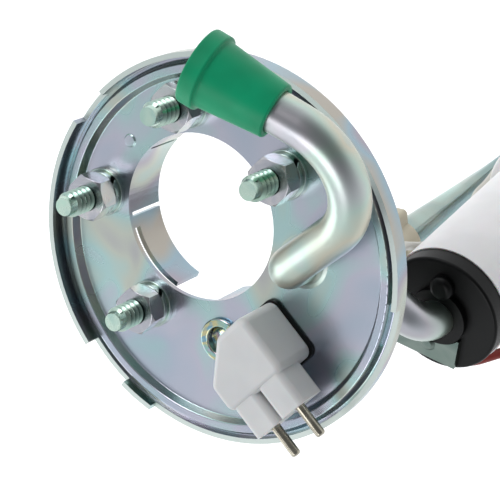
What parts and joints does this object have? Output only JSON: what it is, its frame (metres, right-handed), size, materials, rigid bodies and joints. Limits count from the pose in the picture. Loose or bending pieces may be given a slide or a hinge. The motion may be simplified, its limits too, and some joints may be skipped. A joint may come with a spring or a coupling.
{
  "type": "fuel pump module",
  "caption": "In-tank fuel pump module: round bayonet flange with sender opening and studs, bent outlet pipe with transit cap, pin connector, stay tube and a hanging pump in a sleeve.",
  "frame": {"origin": "centre of the level-sender opening, on the upper face of the flange plate", "axes": "+Z out of the tank along the opening's axis; +Y is the studs' line of symmetry, away from the connector; the connector's pins point to -Y"},
  "size_m": [0.1402, 0.1376, 0.2749],
  "materials": {
    "zinc_steel": "satin, zinc plated with a pale rainbow passivation",
    "bright_zinc": "satin, bright zinc plated",
    "fastener_zinc": "semi-gloss, zinc plated",
    "cap_green": "smooth soft polyethylene",
    "white_nylon": "smooth moulded nylon",
    "beige_nylon": "smooth moulded nylon",
    "black_rubber": "moulded, slightly glossy",
    "plated_brass": "tin plated",
    "brass": "machined",
    "red_insulation": "extruded insulation",
    "pale_insulation": "extruded insulation",
    "casing_steel": "satin rolled tube",
    "black_acetal": "moulded acetal",
    "copper": null,
    "core_steel": "stacked electrical steel sheets",
    "ferrite": "ground ferrite",
    "carbon": "pressed carbon",
    "sintered_bronze": "oil-filled sintered bronze",
    "bearing_steel": "ground steel",
    "spring_steel": "drawn spring wire",
    "strainer_weave": "woven nylon"
  },
  "bodies": {
    "module": {"flange_plate": "zinc_steel", "studs": "fastener_zinc", "flat_washers": "fastener_zinc", "spring_washers": "fastener_zinc", "nuts": "fastener_zinc", "outlet_pipe": "bright_zinc", "connector_body": "white_nylon", "connector_gasket": "black_rubber", "connector_pins": "plated_brass", "stay_tube": "bright_zinc", "wire_clip": "beige_nylon", "support_bracket": "bright_zinc", "lower_clamp": "bright_zinc", "clamp_rivet": "bright_zinc", "red_lead": "red_insulation", "pale_lead": "pale_insulation", "rubber_end_cap": "black_rubber", "pump_carrier": "white_nylon", "pump_casing": "casing_steel", "outlet_cover": "black_acetal", "valve_guide": "brass", "check_spring": "spring_steel", "upper_bearing": "sintered_bronze", "lower_bearing": "sintered_bronze", "magnets": "ferrite", "brush_card": "black_acetal", "brush_spring_a": "spring_steel", "brush_spring_b": "spring_steel", "stage_plate": "black_acetal", "inlet_cover": "black_acetal", "relief_spring": "spring_steel", "relief_plug": "brass", "ground_tab": "plated_brass", "supply_tab": "plated_brass", "lower_isolator": "black_rubber", "strainer_frame": "white_nylon", "strainer_cloth": "strainer_weave"},
    "rotor": {"motor_shaft": "bearing_steel", "commutator": "copper", "armature_core": "core_steel", "armature_windings": "copper", "impeller": "black_acetal"},
    "check_poppet": {"check_valve": "black_acetal"},
    "relief_ball": {"relief_ball": "bearing_steel"},
    "cap": {"transit_cap": "cap_green"},
    "brush_a": {"brush_a": "carbon"},
    "brush_b": {"brush_b": "carbon"}
  },
  "joints": [
    {"name": "rotor_spin", "type": "hinge", "parent": "module", "child": "rotor", "pos_m": [0.0327, -0.0581, -0.09928], "axis": [-0.2051, -0.12, 0.9714], "continuous": true},
    {"name": "check_valve_lift", "type": "slide", "parent": "module", "child": "check_poppet", "axis": [-0.2051, -0.12, 0.9714], "range_m": [0, 0.0025], "stiffness_N_per_m": 120, "springref_m": -0.002, "deforming": ["check_spring"]},
    {"name": "relief_valve_lift", "type": "slide", "parent": "module", "child": "relief_ball", "axis": [0.2051, 0.12, -0.9714], "range_m": [0, 0.0015], "stiffness_N_per_m": 2500, "springref_m": -0.002, "deforming": ["relief_spring"]},
    {"name": "cap_pull", "type": "slide", "parent": "module", "child": "cap", "axis": [-0.325, 0.9343, 0.1462], "range_m": [0, 0.04]},
    {"name": "brush_a_slide", "type": "slide", "parent": "module", "child": "brush_a", "axis": [0.9784, 0, 0.2066], "range_m": [0, 0.0014], "stiffness_N_per_m": 300, "springref_m": -0.002, "deforming": ["brush_spring_a"]},
    {"name": "brush_b_slide", "type": "slide", "parent": "module", "child": "brush_b", "axis": [-0.9784, 0, -0.2066], "range_m": [0, 0.0014], "stiffness_N_per_m": 300, "springref_m": -0.002, "deforming": ["brush_spring_b"]}
  ]
}
